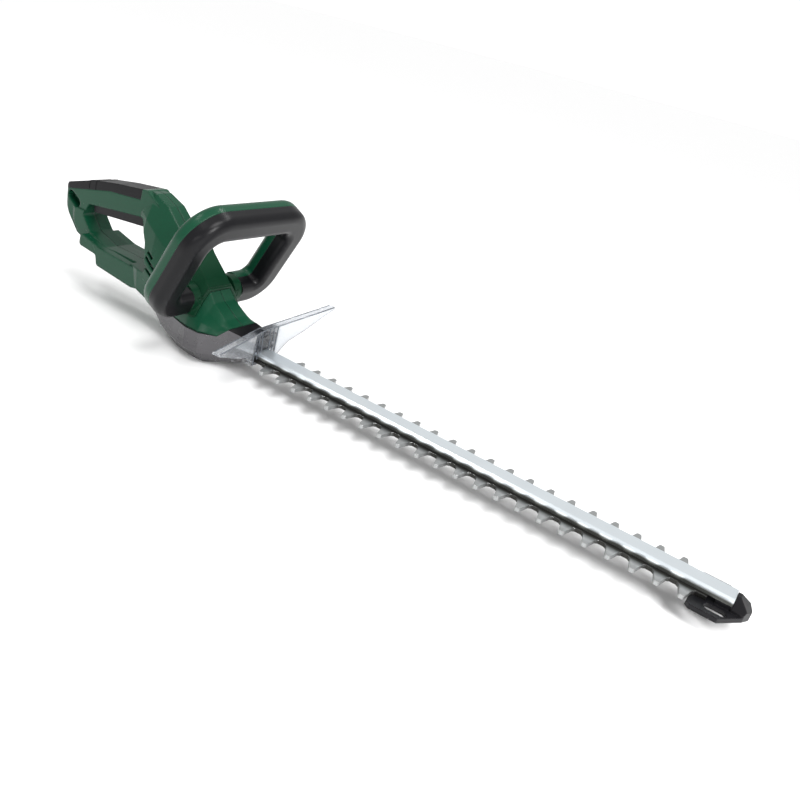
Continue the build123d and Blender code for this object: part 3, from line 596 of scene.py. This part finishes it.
screw_heads = []
for name, axis in (("housing_screws", 1), ("cover_screws", 2), ("tip_screw", 2)):
    screw_heads += heads_of(name, axis)
stamped("screw_caps", screw_heads, cap_stamp, "root", "screw_steel", finishes["screw_steel"])
stamped("screw_socket_floors", screw_heads, floor_stamp, "root", "screw_steel", shadow_black)

# %% [markdown]
# ## Ridges under the trigger
#
# The trigger's underside has cross ridges that the fingers feel. They follow its slope, so rays from
# below find their places, and they ride on the trigger.

# %% Trigger ridges
trigger_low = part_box("rear_trigger")[0]
trigger = surface_tree("rear_trigger")
FIRST_RIDGE, RIDGE_PITCH, RIDGE_COUNT = 26, 7, 9
ridges = []
for step in range(RIDGE_COUNT):
    x = trigger_low.x + (FIRST_RIDGE + RIDGE_PITCH * step) * MM
    run = []
    for across in range(-8, 9):
        met = hit(trigger, (x, across * MM, trigger_low.z - 0.02), (0, 0, 1))
        if met:
            run.append(met[0] + Vector((0, 0, 0.25 * MM)))
    if len(run) > 2:
        ridges.append(run)
bead_piece("trigger_ridges", ridges, 0.55 * MM, "trigger", "black_plastic")

# %% [markdown]
# ## Seams round the soft grip
#
# The rubber over the rear handle is moulded in fields, with two raised seams across it. A ring of
# rays in the seam's plane finds the grip's surface.

# %% Grip seams
grip = surface_tree("rear_grip")
grip_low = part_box("rear_grip")[0]
GRIP_MIDDLE = 0.140
SEAM_LEAN = 0.15
seams = []
for x in (grip_low.x + 48 * MM, grip_low.x + 60 * MM):
    run = []
    for step in range(-40, 41):
        turn = pi / 2 + radians(2.4) * step
        away = Vector((SEAM_LEAN * sin(turn), cos(turn), sin(turn))).normalized()
        met = hit(grip, Vector((x, 0, GRIP_MIDDLE)) + away * 0.1, -away)
        if met and met[1].dot(away) > 0.1:
            run.append(met[0] - away * 0.15 * MM)
    seams.append(run)
bead_piece("grip_seams", seams, 0.6 * MM, "root", "soft_grip")

# %% [markdown]
# ## Vanes behind the vents
#
# Behind each slanted vent the housing has vanes that keep clippings out. They are short upright dark
# bars, a little inside the wall, repeated at an even step on both sides.

# %% Vent vanes
VANE_RADIUS, VANE_HALF = 0.6 * MM, 3.4 * MM
VANE_DEPTH = 26
VANE_STEP = (4.2 * MM, 0, -1.3 * MM)
VENT_STARTS = ((-306, 105.6), (-303, 95.6), (-306, 85.6))
octagon = [(cos(2 * pi * i / 8), sin(2 * pi * i / 8)) for i in range(8)]
vane_stamp = stacked_rings("vane_stamp", [ring_at(octagon, VANE_RADIUS, VANE_HALF * level)
                                          for level in (-1, -0.9, 0.9, 1)])
vane_rule, given = new_tree("vanes_in_a_row", [("Stamp", "Object"), ("Step", "Vector"),
                                               ("Count", "Int"), ("Finish", "Material")])
row = add_node(vane_rule, "GeometryNodeMeshLine", {"Count": given.outputs["Count"],
                                                   "Offset": given.outputs["Step"]})
vane = add_node(vane_rule, "GeometryNodeObjectInfo", {"Object": given.outputs["Stamp"]})
vane_row = add_node(vane_rule, "GeometryNodeInstanceOnPoints",
                    {"Points": row.outputs[0], "Instance": vane.outputs["Geometry"]})
rows = add_node(vane_rule, "GeometryNodeInstanceOnPoints",
                {"Points": given.outputs["Geometry"], "Instance": vane_row.outputs[0]})
end_tree(vane_rule, given, rows.outputs[0])
starts = bpy.data.meshes.new("vane_starts")
starts.from_pydata([(x * MM, side * VANE_DEPTH * MM, z * MM) for side in (-1, 1)
                    for x, z in VENT_STARTS], [], [])
grow("vent_vanes", starts, vane_rule, "root", "black_plastic", stamp=vane_stamp, step=VANE_STEP,
     count=5, finish=finishes["black_plastic"])

# %% [markdown]
# ## Blades with honed edges
#
# The teeth are ground to a bright bevel on their outer face, while the inner faces stay flat and
# slide on each other. The solid's own mesh is merged and simplified to flat faces, and its tooth
# edges are bevelled. The cut only takes steel away, so the blade keeps its size.


# %% Bevel the teeth
BAR_EDGE = 15.5 * MM
STEEP_EDGE = 0.7
HONED_WIDTH = 1.1 * MM


def honed_blade(name, node, outer, body):
    work = bmesh.new()
    work.from_mesh(CAD[node].data)
    bmesh.ops.remove_doubles(work, verts=work.verts, dist=2e-6)
    bmesh.ops.dissolve_limit(work, angle_limit=0.01, verts=work.verts, edges=work.edges)
    level = max(v.co.z * outer for v in work.verts)
    rim = []
    for edge in work.edges:
        if all(v.co.z * outer > level - 0.05 * MM and abs(v.co.y) > BAR_EDGE for v in edge.verts):
            if len(edge.link_faces) == 2 and abs(edge.calc_face_angle(0)) > STEEP_EDGE:
                rim.append(edge)
    bmesh.ops.bevel(work, geom=rim, offset=HONED_WIDTH, segments=1, affect="EDGES", material=1,
                    clamp_overlap=True)
    bmesh.ops.triangulate(work, faces=work.faces)
    mesh = bpy.data.meshes.new(name)
    work.to_mesh(mesh)
    work.free()
    mesh.materials.append(finishes["blade_steel"])
    mesh.materials.append(honed)
    piece = place_piece(name, mesh, body, radians(12))
    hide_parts(node)
    print(name, "has", len(rim), "honed edges")


honed_blade("upper_blade_honed", "upper_blade", 1, "blade_upper")
honed_blade("lower_blade_honed", "lower_blade", -1, "blade_lower")

# %% [markdown]
# ## Floor, light and camera
#
# Tools are usually shown under large soft boxes on a white floor, so highlights are long and even,
# and shadows are faint. A wide pale floor, four area lamps and one broad overhead light do the same.
# The world looks white to the camera and gives a weaker fill, which keeps the dark plastics dark.

# %% Floor
FLOOR_RADIUS = 20
FLOOR_HEIGHT = -0.0002
floor_mesh = bpy.data.meshes.new("floor")
floor_mesh.from_pydata([(FLOOR_RADIUS * cos(turn), FLOOR_RADIUS * sin(turn), FLOOR_HEIGHT)
                        for turn in ring_angles], [], [tuple(range(len(ring_angles)))])
studio_floor = bpy.data.objects.new("floor", floor_mesh)
bpy.context.scene.collection.objects.link(studio_floor)
floor_mesh.materials.append(finish_of("pale_floor", (0.965, 0.965, 0.965), 0.8, 0.02, 0.005))

# %% World and lamps
FILL_LIGHT = 0.6
SEEN_LIGHT = 1.05
world = bpy.data.worlds.new("studio")
bpy.context.scene.world = world
world.use_nodes = True
sky = world.node_tree
seen = add_node(sky, "ShaderNodeLightPath").outputs["Is Camera Ray"]
backing = sky.nodes["Background"]
backing.inputs["Color"].default_value = (1.0, 1.0, 1.0, 1.0)
sky.links.new(between(sky, seen, FILL_LIGHT, SEEN_LIGHT, 0, 1), backing.inputs["Strength"])


def soft_box(name, place, aim, power, width, height):
    lamp = bpy.data.lights.new(name, "AREA")
    lamp.shape = "RECTANGLE"
    lamp.energy, lamp.size, lamp.size_y = power, width, height
    holder = bpy.data.objects.new(name, lamp)
    holder.location = place
    holder.rotation_euler = (Vector(aim) - Vector(place)).to_track_quat("-Z", "Y").to_euler()
    bpy.context.scene.collection.objects.link(holder)


BODY_MIDDLE = (-0.1, 0, 0.05)
soft_box("key_box", (-0.9, -0.7, 1.9), BODY_MIDDLE, 7, 1.1, 0.12)
soft_box("side_box", (0.3, -1.9, 0.8), BODY_MIDDLE, 4, 1.3, 0.10)
soft_box("front_box", (1.3, -0.5, 0.9), (-0.25, 0, 0.05), 15, 0.4, 0.6)
soft_box("rear_box", (0.1, 0.9, 2.0), BODY_MIDDLE, 9, 1.4, 0.12)

overhead = bpy.data.lights.new("overhead", "SUN")
overhead.energy, overhead.angle = 1.6, radians(30)
overhead_body = bpy.data.objects.new("overhead", overhead)
overhead_body.rotation_euler = (radians(8), radians(24), 0)
bpy.context.scene.collection.objects.link(overhead_body)

# %% Camera
lens = bpy.data.cameras.new("camera")
lens.lens, lens.sensor_width = 35.8875, 36.0
lens.clip_start = 0.01
camera = bpy.data.objects.new("camera", lens)
camera.rotation_mode = "QUATERNION"
camera.location = (0.4369445, -0.7299162, 0.4444686)
camera.rotation_quaternion = Quaternion((0.79068273, 0.53313074, 0.05354554, 0.29618459))
bpy.context.scene.collection.objects.link(camera)
bpy.context.scene.camera = camera
bpy.context.scene.view_settings.view_transform = "Standard"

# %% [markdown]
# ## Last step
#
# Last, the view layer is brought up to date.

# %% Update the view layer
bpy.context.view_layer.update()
